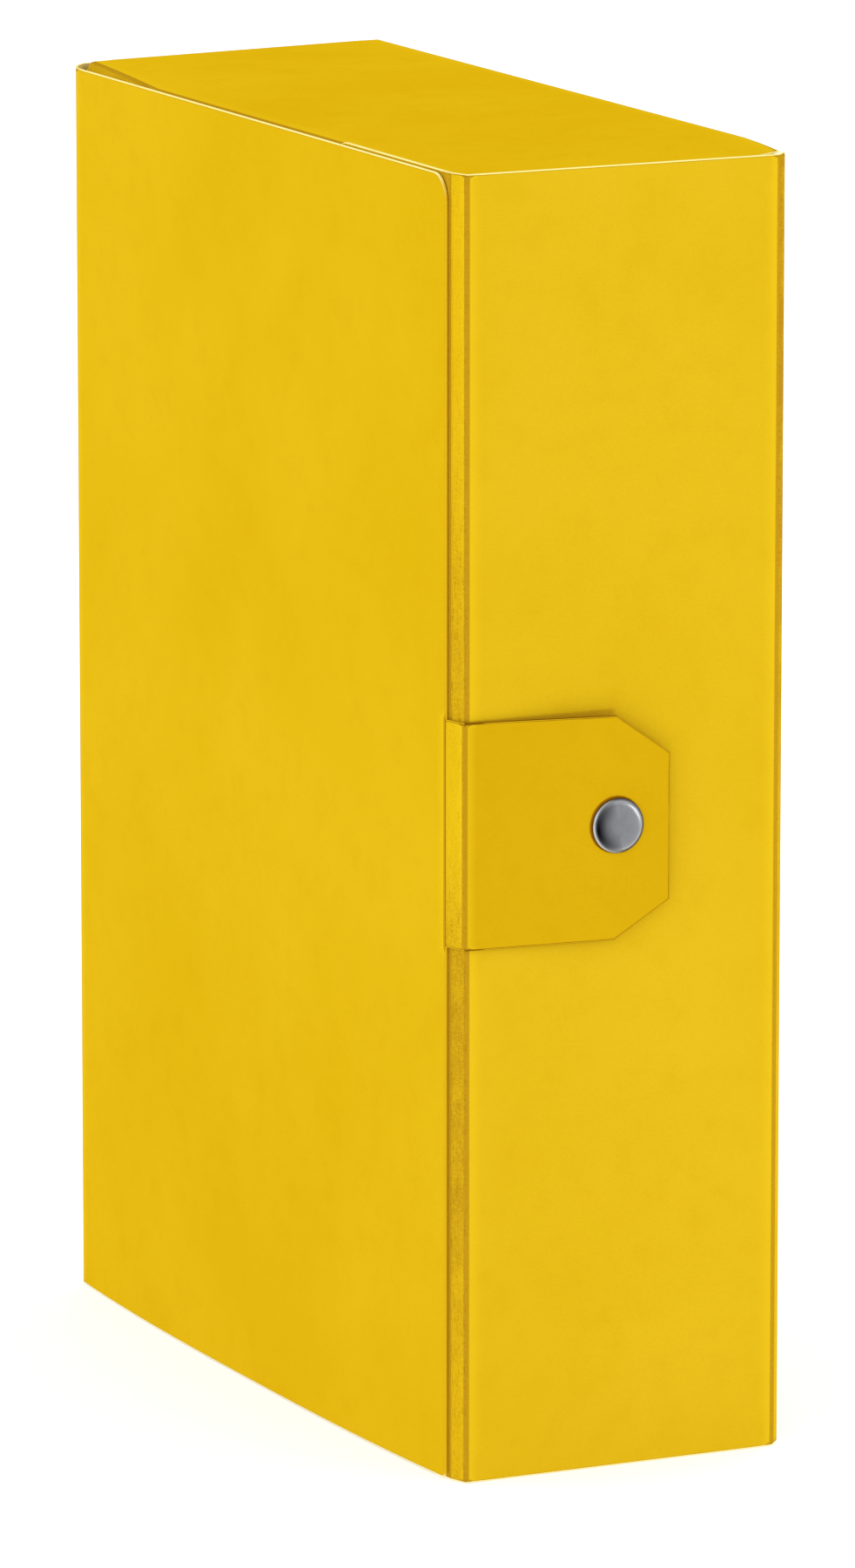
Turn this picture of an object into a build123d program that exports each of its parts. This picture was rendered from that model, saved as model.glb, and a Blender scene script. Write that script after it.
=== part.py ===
from build123d import *
import os
from math import atan, cos, hypot, radians, sin

# Folding document box of varnished solid board, 25 x 35 cm format, closed by a tab with a press stud.
# Millimetres. +Z is up. -Y is the fore-edge with the press stud, -X the front cover, +X the back
# cover, +Y the spine. The origin is the centre of the base.

# ---- driving dimensions ----
WIDTH = 250.0            # spine to fore-edge
DEPTH = 98.0             # front cover to back cover
HEIGHT = 350.0
BOARD = 0.8              # board thickness
GAP = 0.3                # between boards that lie against each other
END_GAP = 1.6            # from the outside of a wall to the end of the panel folded in beside it

SPINE_LEG = 4.0          # legs of the double-scored corner bands
FORE_LEG_X = 3.8
FORE_LEG_Y = 3.6
FLANGE_LEG_X = 2.3
FLANGE_LEG_Y = 5.6
END_LEG = 3.0            # the same where the top and bottom walls join the back
END_FLANGE_LEG = 1.4     # and where their flanges turn in behind the cover

COVER_LOW = 0.4          # lower edge of the front cover
COVER_HIGH = 349.3
COVER_SHORT = 6.4        # the cover stops this far short of the fore-edge
COVER_BULGE = 3.5        # how far the cover's lower edge bows out
COVER_RADIUS_TOP = 7.0
COVER_RADIUS_LOW = 1.6

TOP_FRONT_Z = 349.9      # outer face of the top wall at its front and back folds
TOP_BACK_Z = 352.0
RELIEF_Y = 18.0          # slanted relief at the back corners of the top and bottom walls
RELIEF_X = 3.2

FORE_FLANGE = 76.0       # length of the flange behind the cover
END_FLANGE = 58.0        # length of the top and bottom flanges
FLANGE_INSET = 7.0       # end of a flange, in from the outside of the box
FLANGE_SLANT = 12.0

TAB_TILT = 1.65          # degrees; the stud holds the tab a little off the wall
TAB_LEG_X = 2.05
TAB_LENGTH = 59.1
TAB_CHAMFER_START = 43.4
TAB_FOLD_Z = (144.6, 205.5)      # lower and upper edge at the fold
TAB_SHOULDER_Z = (143.9, 204.6)  # lower and upper edge where the chamfers start
TAB_END_Z = (153.7, 193.3)       # lower and upper edge at the free end

STUD_ALONG_TAB = 44.3
STUD_Z = 174.8
CAP_RADIUS = 7.5
CAP_HEIGHT = 1.3
CAP_WALL = 0.5
BARREL_OUTER = 2.9
BARREL_INNER = 2.5
TAB_HOLE = 3.0
SOCKET_RADIUS = 5.5
SOCKET_BORE = 2.1
SPRING_RADIUS = 1.85
SPRING_WIRE = 0.2
NECK_RADIUS = 1.4
HEAD_RADIUS = 1.85
STUD_FLANGE = 4.2
SHANK_RADIUS = 0.9
POST_HEAD = 4.5

GROOVE_RADIUS = 0.8      # scored groove on the outside of each fold
GROOVE_DEPTH = 0.35
TURN_CLEARANCE = 0.1     # round relief where a panel turns about its fold

# ---- outer planes ----
FRONT = -DEPTH / 2
BACK = DEPTH / 2
FORE = -WIDTH / 2
SPINE = WIDTH / 2
FORE_FLANGE_X = FRONT + BOARD + GAP
END_FLANGE_X = FORE_FLANGE_X + BOARD + GAP
TAB_Y = FORE - BOARD - GAP
INNER_PIVOT = BOARD + GAP / 2    # axis of a fold that closes on itself, in from both outer faces


def towards(point, direction, distance):
    """A plane point moved along a direction."""
    return (point[0] + direction[0] * distance, point[1] + direction[1] * distance)


def flat_pivot(corner, into, leg_a, leg_b):
    """Fold axis that lets two panels open flat while the band between them keeps its width."""
    inset = (leg_a + leg_b - hypot(leg_a, leg_b)) / 2
    return (corner[0] + into[0] * inset, corner[1] + into[1] * inset)


def upright(outline, low, high):
    """A prism along Z from an outline of (x, y) points."""
    face = make_face(Polyline(*outline, close=True))
    return extrude(Pos(0, 0, low) * face, amount=high - low)


def lengthwise(outline, low, high):
    """A prism along Y from an outline of (x, z) points."""
    plane = Plane(origin=(0, high, 0), x_dir=(1, 0, 0), z_dir=(0, -1, 0))
    return extrude(plane * make_face(Polyline(*outline, close=True)), amount=high - low)


def sideways(outline, low, high):
    """A prism along X from an outline of (y, z) points."""
    plane = Plane(origin=(low, 0, 0), x_dir=(0, 1, 0), z_dir=(1, 0, 0))
    return extrude(plane * make_face(Polyline(*outline, close=True)), amount=high - low)


def upright_rod(point, radius):
    return Pos(point[0], point[1], HEIGHT / 2) * Cylinder(radius, 2 * HEIGHT)


def lengthwise_rod(point, radius):
    return Pos(point[0], 0, point[1]) * Rot(90, 0, 0) * Cylinder(radius, 2 * WIDTH)


def band_outline(start, start_in, end, end_in):
    """Section of a corner band: its outer chord, and the board's thickness in from each end."""
    return [start, end, towards(end, end_in, BOARD), towards(start, start_in, BOARD)]


def turn_radius(pivot, end, end_in):
    """Radius that clears the band's end as the panel beside it turns."""
    inner = towards(end, end_in, BOARD)
    reach = max(hypot(p[0] - pivot[0], p[1] - pivot[1]) for p in (end, inner))
    return reach + TURN_CLEARANCE


def groove(rod, point, outward):
    """The scored groove along a fold line; outward is a unit direction out of the corner."""
    return rod(towards(point, outward, GROOVE_RADIUS - GROOVE_DEPTH), GROOVE_RADIUS)


# ---- fold lines in plan: parent end, child end, pivot ----
back_spine = ((BACK, SPINE - SPINE_LEG), (BACK - SPINE_LEG, SPINE))
back_spine_pivot = flat_pivot((BACK, SPINE), (-1, -1), SPINE_LEG, SPINE_LEG)
spine_cover = ((FRONT + SPINE_LEG, SPINE), (FRONT, SPINE - SPINE_LEG))
spine_cover_pivot = flat_pivot((FRONT, SPINE), (1, -1), SPINE_LEG, SPINE_LEG)
back_fore = ((BACK, FORE + FORE_LEG_Y), (BACK - FORE_LEG_X, FORE))
back_fore_pivot = flat_pivot((BACK, FORE), (-1, 1), FORE_LEG_X, FORE_LEG_Y)
fore_flange = ((FORE_FLANGE_X + FLANGE_LEG_X, FORE), (FORE_FLANGE_X, FORE + FLANGE_LEG_Y))
fore_flange_pivot = flat_pivot((FORE_FLANGE_X, FORE), (1, 1), FLANGE_LEG_X, FLANGE_LEG_Y)
cover_tab = ((FRONT, FORE + COVER_SHORT), (FRONT + TAB_LEG_X, TAB_Y))
cover_tab_pivot = flat_pivot((FRONT, TAB_Y), (1, 1), TAB_LEG_X, COVER_SHORT + BOARD + GAP)

# ---- fold lines in the (x, z) section: side is +1 at the top and -1 at the bottom ----


def end_section(side):
    back_z = TOP_BACK_Z if side > 0 else 0.0
    front_z = TOP_FRONT_Z if side > 0 else 0.0
    wall_back = (BACK - END_LEG, back_z)
    wall_front = (END_FLANGE_X + END_FLANGE_LEG, front_z)
    return {
        "back": (BACK, back_z - side * END_LEG),
        "wall_back": wall_back,
        "wall_front": wall_front,
        "flange": (END_FLANGE_X, front_z - side * END_FLANGE_LEG),
        "wall_pivot": flat_pivot((BACK, back_z), (-1, -side), END_LEG, END_LEG),
        "flange_pivot": (END_FLANGE_X + INNER_PIVOT, front_z - side * INNER_PIVOT),
    }


top = end_section(1)
bottom = end_section(-1)
PANEL_END = WIDTH / 2 - END_GAP
RELIEF_START = PANEL_END - RELIEF_Y
FLANGE_END = WIDTH / 2 - FLANGE_INSET


# ---- back cover, spine and their corner bands ----
def make_back_cover():
    low = bottom["back"][1]
    high = top["back"][1]
    shoulder = WIDTH / 2 - SPINE_LEG
    outline = [
        (RELIEF_START, low), (shoulder, low + RELIEF_X), (shoulder, high - RELIEF_X),
        (RELIEF_START, high), (-RELIEF_START, high), (-shoulder, high - RELIEF_X),
        (-shoulder, low + RELIEF_X), (-RELIEF_START, low),
    ]
    panel = sideways(outline, BACK - BOARD, BACK)
    panel -= groove(upright_rod, back_spine[0], (1, 0))
    panel -= groove(upright_rod, back_fore[0], (1, 0))
    return panel


def make_upright_band(fold, start_in, end_in, low, high):
    start, end = fold
    band = upright(band_outline(start, start_in, end, end_in), low, high)
    for point, inward in ((start, start_in), (end, end_in)):
        band -= groove(upright_rod, point, (-inward[0], -inward[1]))
    return band


def make_spine_panel():
    outline = [
        (back_spine[1][0], SPINE), (spine_cover[0][0], SPINE),
        (spine_cover[0][0], SPINE - BOARD), (back_spine[1][0], SPINE - BOARD),
    ]
    panel = upright(outline, 0, HEIGHT)
    panel -= upright_rod(back_spine_pivot, turn_radius(back_spine_pivot, back_spine[1], (0, -1)))
    panel -= groove(upright_rod, back_spine[1], (0, 1))
    panel -= groove(upright_rod, spine_cover[0], (0, 1))
    return panel


# ---- front cover: flat at its top edge, bowed out towards its lower edge ----
def cover_bulge(z):
    """How far the cover stands out, midway between spine and fore-edge, at height z."""
    return 0.05 + COVER_BULGE * (1 - z / HEIGHT) ** 1.5


def cover_section(z):
    near = cover_tab[0][1]
    far = spine_cover[1][1]
    middle = (near + far) / 2
    bulge = cover_bulge(z)
    inner = FRONT + BOARD
    outer_arc = ThreePointArc((FRONT, near, z), (FRONT - bulge, middle, z), (FRONT, far, z))
    inner_arc = ThreePointArc((inner, far, z), (inner - bulge, middle, z), (inner, near, z))
    far_edge = Line((FRONT, far, z), (inner, far, z))
    near_edge = Line((inner, near, z), (FRONT, near, z))
    return make_face([outer_arc, far_edge, inner_arc, near_edge])


def make_front_cover():
    heights = [COVER_LOW, HEIGHT / 3, 2 * HEIGHT / 3, COVER_HIGH]
    panel = loft([cover_section(z) for z in heights])
    near = cover_tab[0][1]
    for z, radius, side in ((COVER_HIGH, COVER_RADIUS_TOP, -1), (COVER_LOW, COVER_RADIUS_LOW, 1)):
        corner = Pos(FRONT, near, z) * Box(DEPTH, 2 * radius, 2 * radius)
        centre = Pos(FRONT, near + radius, z + side * radius)
        corner -= centre * Rot(0, 90, 0) * Cylinder(radius, 2 * DEPTH)
        panel -= corner
    pivot = spine_cover_pivot
    panel -= upright_rod(pivot, turn_radius(pivot, spine_cover[1], (1, 0)))
    return panel


# ---- closure tab, in a frame that leans off the wall ----
lean = radians(TAB_TILT)
tab_plane = Plane(
    origin=(cover_tab[1][0], cover_tab[1][1], 0),
    x_dir=(cos(lean), -sin(lean), 0),
    z_dir=(-sin(lean), -cos(lean), 0),
)
stud_frame = tab_plane.location * Pos(STUD_ALONG_TAB, STUD_Z, 0)


def make_closure_tab():
    outline = [
        (0, TAB_FOLD_Z[0]), (TAB_CHAMFER_START, TAB_SHOULDER_Z[0]), (TAB_LENGTH, TAB_END_Z[0]),
        (TAB_LENGTH, TAB_END_Z[1]), (TAB_CHAMFER_START, TAB_SHOULDER_Z[1]), (0, TAB_FOLD_Z[1]),
    ]
    panel = extrude(tab_plane * make_face(Polyline(*outline, close=True)), amount=-BOARD)
    panel -= stud_frame * Cylinder(TAB_HOLE, 4 * BOARD)
    panel -= upright_rod(cover_tab_pivot, turn_radius(cover_tab_pivot, cover_tab[1], (0, 1)))
    panel -= groove(upright_rod, cover_tab[1], (0, -1))
    return panel


def make_tab_crease():
    """The band between cover and tab, which starts square at the cover's edge."""
    start, end = cover_tab
    band = upright(band_outline(start, (1, 0), end, (0, 1)), *TAB_FOLD_Z)
    return band - groove(upright_rod, end, (0, -1))


# ---- fore-edge flap ----
def make_fore_edge_wall():
    far = back_fore[1][0]
    near = fore_flange[0][0]
    panel = upright([(near, FORE), (far, FORE), (far, FORE + BOARD), (near, FORE + BOARD)], 0, HEIGHT)
    panel -= upright_rod(back_fore_pivot, turn_radius(back_fore_pivot, back_fore[1], (0, 1)))
    panel -= groove(upright_rod, back_fore[1], (0, -1))
    panel -= groove(upright_rod, fore_flange[0], (0, -1))
    return panel - stud_axis * Cylinder(SHANK_RADIUS + 0.1, 4 * BOARD)


def make_fore_edge_flange():
    near = fore_flange[1][1]
    far = near + FORE_FLANGE
    slant = FLANGE_SLANT
    outline = [
        (near, 0), (far - slant / 3, 0), (far, slant), (far, HEIGHT - slant),
        (far - slant / 3, HEIGHT), (near, HEIGHT),
    ]
    panel = sideways(outline, FORE_FLANGE_X, FORE_FLANGE_X + BOARD)
    pivot = fore_flange_pivot
    panel -= upright_rod(pivot, turn_radius(pivot, fore_flange[1], (1, 0)))
    return panel - groove(upright_rod, fore_flange[1], (-1, 0))


# ---- top and bottom flaps ----
def make_back_end_crease(section, side):
    outline = band_outline(section["back"], (-1, 0), section["wall_back"], (0, -side))
    band = lengthwise(outline, -RELIEF_START, RELIEF_START)
    for point, outward in ((section["back"], (1, 0)), (section["wall_back"], (0, side))):
        band -= groove(lengthwise_rod, point, outward)
    return band


def make_end_wall(section, side):
    back, front = section["wall_back"], section["wall_front"]
    profile = [back, front, towards(front, (0, -side), BOARD), towards(back, (0, -side), BOARD)]
    panel = lengthwise(profile, -PANEL_END, PANEL_END)
    outline = [
        (front[0], -PANEL_END), (back[0] - RELIEF_X, -PANEL_END), (back[0], -RELIEF_START),
        (back[0], RELIEF_START), (back[0] - RELIEF_X, PANEL_END), (front[0], PANEL_END),
    ]
    panel &= upright(outline, -HEIGHT, 2 * HEIGHT)
    pivot = section["wall_pivot"]
    panel -= lengthwise_rod(pivot, turn_radius(pivot, back, (0, -side)))
    panel -= groove(lengthwise_rod, back, (0, side))
    return panel - groove(lengthwise_rod, front, (0, side))


def make_end_flange_crease(section, side):
    """The band from an end wall to its flange, slanted at both ends to clear the corner bands."""
    front, flange = section["wall_front"], section["flange"]
    band = lengthwise(band_outline(front, (0, -side), flange, (1, 0)), -PANEL_END, PANEL_END)
    outline = [
        (front[0], -PANEL_END), (flange[0], -FLANGE_END), (flange[0], FLANGE_END),
        (front[0], PANEL_END),
    ]
    band &= upright(outline, -HEIGHT, 2 * HEIGHT)
    for point, outward in ((front, (0, side)), (flange, (-1, 0))):
        band -= groove(lengthwise_rod, point, outward)
    return band


def make_end_flange(section, side):
    root = section["flange"][1]
    tip = root - side * END_FLANGE
    shoulder = FLANGE_END - FLANGE_SLANT
    outline = [(-FLANGE_END, root), (-shoulder, tip), (shoulder, tip), (FLANGE_END, root)]
    panel = sideways(outline, END_FLANGE_X, END_FLANGE_X + BOARD)
    pivot = section["flange_pivot"]
    panel -= lengthwise_rod(pivot, turn_radius(pivot, section["flange"], (1, 0)))
    return panel - groove(lengthwise_rod, section["flange"], (-1, 0))


# ---- press stud ----
def ring(outer, inner, low, high):
    """A flat ring from low to high along the local Z axis."""
    height = high - low
    return Pos(0, 0, (low + high) / 2) * (Cylinder(outer, height) - Cylinder(inner, 2 * height))


BARREL_END = -BOARD - 0.45        # inner end of the cap's barrel
SOCKET_LOW = BARREL_END - 0.35    # inner face of the socket plate
stud_x = (stud_frame * Pos(0, 0, SOCKET_LOW)).position.X
stud_axis = Pos(stud_x, FORE, STUD_Z) * Rot(90, 0, 0)     # local +Z points out of the wall


def make_snap_cap():
    rim = CAP_HEIGHT / 2
    cap = Cylinder(CAP_RADIUS, CAP_HEIGHT, align=(Align.CENTER, Align.CENTER, Align.MIN))
    cap = fillet(cap.edges().group_by(Axis.Z)[-1], rim)
    cap -= Pos(0, 0, CAP_HEIGHT) * Cylinder(CAP_RADIUS - 2 * rim, 0.3)
    cap -= Cylinder(CAP_RADIUS - CAP_WALL, 2 * (CAP_HEIGHT - CAP_WALL))
    cap += ring(BARREL_OUTER, BARREL_INNER, BARREL_END, CAP_HEIGHT - CAP_WALL)
    return stud_frame * cap


def make_snap_socket():
    socket = ring(SOCKET_RADIUS, SOCKET_BORE, SOCKET_LOW, BARREL_END)
    socket += ring(SOCKET_RADIUS, SOCKET_RADIUS - CAP_WALL, BARREL_END, -BOARD)
    socket += ring(BARREL_INNER - 0.05, SOCKET_BORE, BARREL_END, 0.3)
    return stud_frame * socket


def make_snap_spring():
    """A split ring of spring wire round the stud's neck."""
    spring = Torus(SPRING_RADIUS, SPRING_WIRE)
    spring -= Pos(SPRING_RADIUS, 0, 0) * Box(4 * SPRING_WIRE, 3 * SPRING_WIRE, 4 * SPRING_WIRE)
    return stud_frame * Pos(0, 0, -1.3) * spring


def make_snap_stud():
    profile = [
        (0, 0), (STUD_FLANGE, 0), (STUD_FLANGE, 0.35), (NECK_RADIUS, 0.35), (NECK_RADIUS, 1.85),
        (HEAD_RADIUS, 2.1), (HEAD_RADIUS, 2.5), (NECK_RADIUS, 2.85), (0, 2.85),
    ]
    stud = revolve(Plane.XZ * make_face(Polyline(*profile, close=True)), Axis.Z)
    stud -= Cylinder(SHANK_RADIUS + 0.02, 4.4)
    return stud_axis * stud


def make_snap_post():
    """A rivet with a low domed head on the inside of the wall."""
    shank = Pos(0, 0, -BOARD) * Cylinder(
        SHANK_RADIUS, BOARD + 2.0, align=(Align.CENTER, Align.CENTER, Align.MIN))
    head = Cylinder(POST_HEAD, 0.5, align=(Align.CENTER, Align.CENTER, Align.MAX))
    head = fillet(head.edges().group_by(Axis.Z)[0], 0.3)
    return stud_axis * (shank + Pos(0, 0, -BOARD) * head)


parts = {
    "back_cover": make_back_cover(),
    "back_spine_crease": make_upright_band(back_spine, (-1, 0), (0, -1), 0, HEIGHT),
    "back_fore_edge_crease": make_upright_band(back_fore, (-1, 0), (0, 1), 0, HEIGHT),
    "back_top_crease": make_back_end_crease(top, 1),
    "back_bottom_crease": make_back_end_crease(bottom, -1),
    "spine_panel": make_spine_panel(),
    "spine_cover_crease": make_upright_band(spine_cover, (0, -1), (1, 0), 0, HEIGHT),
    "front_cover": make_front_cover(),
    "cover_tab_crease": make_tab_crease(),
    "closure_tab": make_closure_tab(),
    "fore_edge_wall": make_fore_edge_wall(),
    "fore_edge_flange_crease": make_upright_band(fore_flange, (0, 1), (1, 0), 0, HEIGHT),
    "fore_edge_flange": make_fore_edge_flange(),
    "top_wall": make_end_wall(top, 1),
    "top_flange_crease": make_end_flange_crease(top, 1),
    "top_flange": make_end_flange(top, 1),
    "bottom_wall": make_end_wall(bottom, -1),
    "bottom_flange_crease": make_end_flange_crease(bottom, -1),
    "bottom_flange": make_end_flange(bottom, -1),
    "snap_cap": make_snap_cap(),
    "snap_socket": make_snap_socket(),
    "snap_spring": make_snap_spring(),
    "snap_stud": make_snap_stud(),
    "snap_post": make_snap_post(),
}

os.makedirs("parts", exist_ok=True)
for name, shape in parts.items():
    export_step(shape, f"parts/{name}.step")

pivots = {
    "spine_fold": back_spine_pivot, "cover_fold": spine_cover_pivot, "tab_fold": cover_tab_pivot,
    "fore_edge_fold": back_fore_pivot, "fore_edge_flange_fold": fore_flange_pivot,
    "top_fold (x, z)": top["wall_pivot"], "top_flange_fold (x, z)": top["flange_pivot"],
    "bottom_fold (x, z)": bottom["wall_pivot"], "bottom_flange_fold (x, z)": bottom["flange_pivot"],
}
for name, point in pivots.items():
    print(name, round(point[0], 3), round(point[1], 3))
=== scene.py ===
"""Folding document box of varnished yellow board with a press stud: the looks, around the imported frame.

Lengths are in millimetres until a mesh is made. A board is described in its own plane by u and v,
with its outer face at height 0 and its outward normal along u x v.
"""
from collections import namedtuple
from math import cos, degrees, exp, pi, radians, sin, sqrt, tan

import bmesh
import bpy
from mathutils import Matrix, Vector, noise
from mathutils.geometry import delaunay_2d_cdt


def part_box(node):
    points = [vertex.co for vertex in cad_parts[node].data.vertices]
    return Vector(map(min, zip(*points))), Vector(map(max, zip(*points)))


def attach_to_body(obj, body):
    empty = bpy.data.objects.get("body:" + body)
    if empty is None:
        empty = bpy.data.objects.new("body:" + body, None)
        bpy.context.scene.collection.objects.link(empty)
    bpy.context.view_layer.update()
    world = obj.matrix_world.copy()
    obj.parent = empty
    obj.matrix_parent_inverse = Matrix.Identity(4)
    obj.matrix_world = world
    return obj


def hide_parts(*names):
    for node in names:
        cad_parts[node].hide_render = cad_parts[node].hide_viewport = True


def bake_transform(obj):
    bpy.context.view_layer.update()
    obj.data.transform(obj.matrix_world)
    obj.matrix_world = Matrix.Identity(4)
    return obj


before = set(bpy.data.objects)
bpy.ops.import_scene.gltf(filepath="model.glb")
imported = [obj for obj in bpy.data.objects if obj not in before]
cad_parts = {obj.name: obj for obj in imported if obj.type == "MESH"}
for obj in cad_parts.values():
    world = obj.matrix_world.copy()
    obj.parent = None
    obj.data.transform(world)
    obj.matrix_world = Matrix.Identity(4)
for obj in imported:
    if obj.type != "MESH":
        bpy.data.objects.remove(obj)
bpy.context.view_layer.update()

MM = 0.001


Box = namedtuple("Box", "low_x low_y low_z high_x high_y high_z")


def box(node):
    """The box round a CAD node, in millimetres."""
    low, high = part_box(node)
    return Box(*[value / MM for value in (*low, *high)])


# ---- planes and sizes, from the frame ----
BACK = box("back_cover").high_x
FRONT = -BACK
SPINE = box("spine_panel").high_y
FORE = box("fore_edge_wall").low_y
HEIGHT = box("fore_edge_wall").high_z
BOARD = BACK - box("back_cover").low_x
FORE_FLANGE_X = box("fore_edge_flange").low_x
END_FLANGE_X = box("top_flange").low_x
TOP_BACK_Z = box("top_wall").high_z
BACK_LOW, BACK_HIGH = box("back_cover").low_z, box("back_cover").high_z
PANEL_END = box("top_wall").high_y
RELIEF_START = box("back_top_crease").high_y
FORE_FLANGE_TIP_Y = box("fore_edge_flange").high_y
COVER_LOW, COVER_HIGH = box("front_cover").low_z, box("front_cover").high_z
COVER_BULGE = FRONT - box("front_cover").low_x
COVER_EDGE_Y = box("front_cover").low_y
TAB_FOLD_Z = (box("cover_tab_crease").low_z, box("cover_tab_crease").high_z)
TAB_Y = FORE - BOARD - 0.3

# ---- sizes the frame doesn't give, as in the CAD model unless noted ----
SPINE_LEG = 4.0
FORE_LEG_X = 3.3         # 3.8 in the CAD model
FORE_LEG_Y = 3.6
FLANGE_LEG_X = 2.05      # 2.3 in the CAD model
FLANGE_LEG_Y = 5.6
END_LEG = 3.0
END_FLANGE_LEG = 1.4
RELIEF_X = 3.2
TOP_RELIEF_X = 0.0       # 3.2 in the CAD model
TOP_FRONT_Z = 349.9
COVER_RADIUS_TOP = 7.0
COVER_RADIUS_LOW = 1.6
FLANGE_INSET = 7.0
FLANGE_SLANT = 12.0
FLANGE_RADIUS = 8.0
TAB_LEG_X = 2.05
TAB_TILT = radians(1.65)
TAB_LENGTH = 59.5        # 59.1 in the CAD model
TAB_CHAMFER_START = 43.4
TAB_LIFT = 1.5           # the tab's upper edge curls off the wall by this; 0 in the CAD model
TAB_LIFT_ALONG = (4.0, 44.0)
TAB_LIFT_Z = (188.0, 206.0)
TAB_SHOULDER_Z = (143.9, 204.6)
TAB_END_Z = (153.7, 193.3)
STUD_ALONG_TAB = 44.3
STUD_Z = 174.8
STUD_HOLE = 3.0
POST_HOLE = 1.0
SPRING_RADIUS = 1.85
SPRING_WIRE = 0.2
SPRING_HEIGHT = -1.3
BARREL_END = -BOARD - 0.45
SOCKET_LOW = -BOARD - 0.8
CAP_RADIUS = 7.38        # 7.5 in the CAD model
SPINE_EDGE = SPINE - SPINE_LEG
FLANGE_END = SPINE - FLANGE_INSET

# ---- how a board looks close up ----
CUT_BEVEL = 0.28         # soft outer edge of a die-cut board
INNER_BEVEL = 0.12
SCORE_RADIUS = 3.0       # scored groove on the outside of a fold
SCORE_DEPTH = 0.34
SCORE_LIP = 0.10
RIM = 1.25               # width of the finely divided strip round a board
RIM_STEPS = (1.0, 0.8, 0.62, 0.46, 0.3, 0.15, 0.0)
REACH = 2 * RIM          # distances to folds and cut edges are counted up to here
NARROW = 0.48            # size of the rim and grooves of a narrow fold
NARROW_BEVEL = 0.6       # size of its soft edge
END_SHARE = 0.35         # how much of the soft edge's drop a fold's end face keeps
SAMPLE = 6.0             # spacing of points along an outline
GRID = 9.0               # spacing of points inside it
GRID_MARGIN = 0.4        # points inside stay this share of the spacing from the rim
HOLE_MARGIN = 1.5        # and this far from a hole
PARALLEL = 0.02          # sides whose normals cross by less than this are in line
WELD = 0.004             # vertices nearer than this become one
BOW = 0.01               # how far straight sides are bowed out while a face is filled
SMOOTH_ANGLE = radians(50)

# ---- painted shadows on the boards ----
MARK_START_X = -47.0     # painted shadow of the tab's upper edge on the fore-edge wall
MARK_START_Z = 205.3
MARK_SLOPE = 0.0207
MARK_SPREAD = 0.026
MARK_END = (43.6, 45.4)  # distance from its start where it fades out
# side of the cap where its painted shadow is widest
STUD_SHADOW_SIDE = (-0.86, 0.0, 0.5)


# ---- materials ----
class Nodes:
    """A material's node tree, with short calls to add and join nodes."""

    def __init__(self, name):
        self.material = bpy.data.materials.new(name)
        self.material.use_nodes = True
        self.tree = self.material.node_tree
        self.shader = self.tree.nodes["Principled BSDF"]

    def add(self, kind, inputs=(), **settings):
        node = self.tree.nodes.new(kind)
        for name, value in settings.items():
            setattr(node, name, value)
        for name, value in dict(inputs).items():
            self.put(value, node.inputs[name])
        return node

    def put(self, value, socket):
        if isinstance(value, bpy.types.NodeSocket):
            self.tree.links.new(value, socket)
        else:
            socket.default_value = value

    def attribute(self, name, output="Fac"):
        return self.add("ShaderNodeAttribute", attribute_name=name).outputs[output]

    def noise(self, where, scale, detail=3.0, roughness=0.55, stretch=None):
        if stretch:
            where = self.add("ShaderNodeMapping", {"Vector": where, "Scale": stretch}).outputs[0]
        inputs = {"Vector": where, "Scale": scale, "Detail": detail, "Roughness": roughness}
        return self.add("ShaderNodeTexNoise", inputs).outputs["Fac"]

    def remap(self, value, low, high, to_low=0.0, to_high=1.0):
        inputs = {"Value": value, "From Min": low, "From Max": high,
                  "To Min": to_low, "To Max": to_high}
        return self.add("ShaderNodeMapRange", inputs, interpolation_type="SMOOTHSTEP").outputs[0]

    def math(self, operation, a, b=0.0):
        node = self.add("ShaderNodeMath", operation=operation)
        self.put(a, node.inputs[0])
        self.put(b, node.inputs[1])
        return node.outputs[0]

    def vector(self, operation, a, b, output="Vector"):
        node = self.add("ShaderNodeVectorMath", {0: a, 1: b}, operation=operation)
        return node.outputs[output]

    def mix(self, factor, a, b):
        node = self.add("ShaderNodeMix", data_type="RGBA")
        self.put(factor, node.inputs[0])
        self.put(a, node.inputs[6])
        self.put(b, node.inputs[7])
        return node.outputs[2]

    def bump(self, height, strength, distance, normal=None):
        inputs = {"Height": height, "Strength": strength, "Distance": distance}
        if normal is not None:
            inputs["Normal"] = normal
        return self.add("ShaderNodeBump", inputs).outputs[0]

    def finish(self, **sockets):
        for name, value in sockets.items():
            self.put(value, self.shader.inputs[name.replace("_", " ")])
        return self.material


def rgb(red, green, blue):
    """A colour given as it is seen on screen, 0 to 255, as the linear values a shader takes."""
    def linear(value):
        share = value / 255
        return share / 12.92 if share <= 0.04045 else ((share + 0.055) / 1.055) ** 2.4
    return (linear(red), linear(green), linear(blue), 1.0)


def tab_edge_painted_shadow(n, rest, fibre):
    """Painted shadow of the tab's upper edge on the wall: a dark line, wider towards the stud."""
    place = n.add("ShaderNodeSeparateXYZ", {"Vector": rest}).outputs
    along = n.math("ADD", place["X"], -MARK_START_X)
    line = n.math("SUBTRACT", MARK_START_Z, n.math("MULTIPLY", along, MARK_SLOPE))
    above = n.math("SUBTRACT", place["Z"], line)
    spread = n.math("MULTIPLY", along, MARK_SPREAD)
    width = n.math("ADD", spread, n.remap(fibre, 0.3, 0.7, 0.35, 0.6))
    mark = n.math("MULTIPLY", n.remap(n.math("DIVIDE", above, width), 0.5, 1.15, 0.6, 0.0),
                  n.remap(above, -1.6, -1.0))
    return n.math("MULTIPLY", mark, n.remap(along, *MARK_END, 1.0, 0.0))


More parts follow.
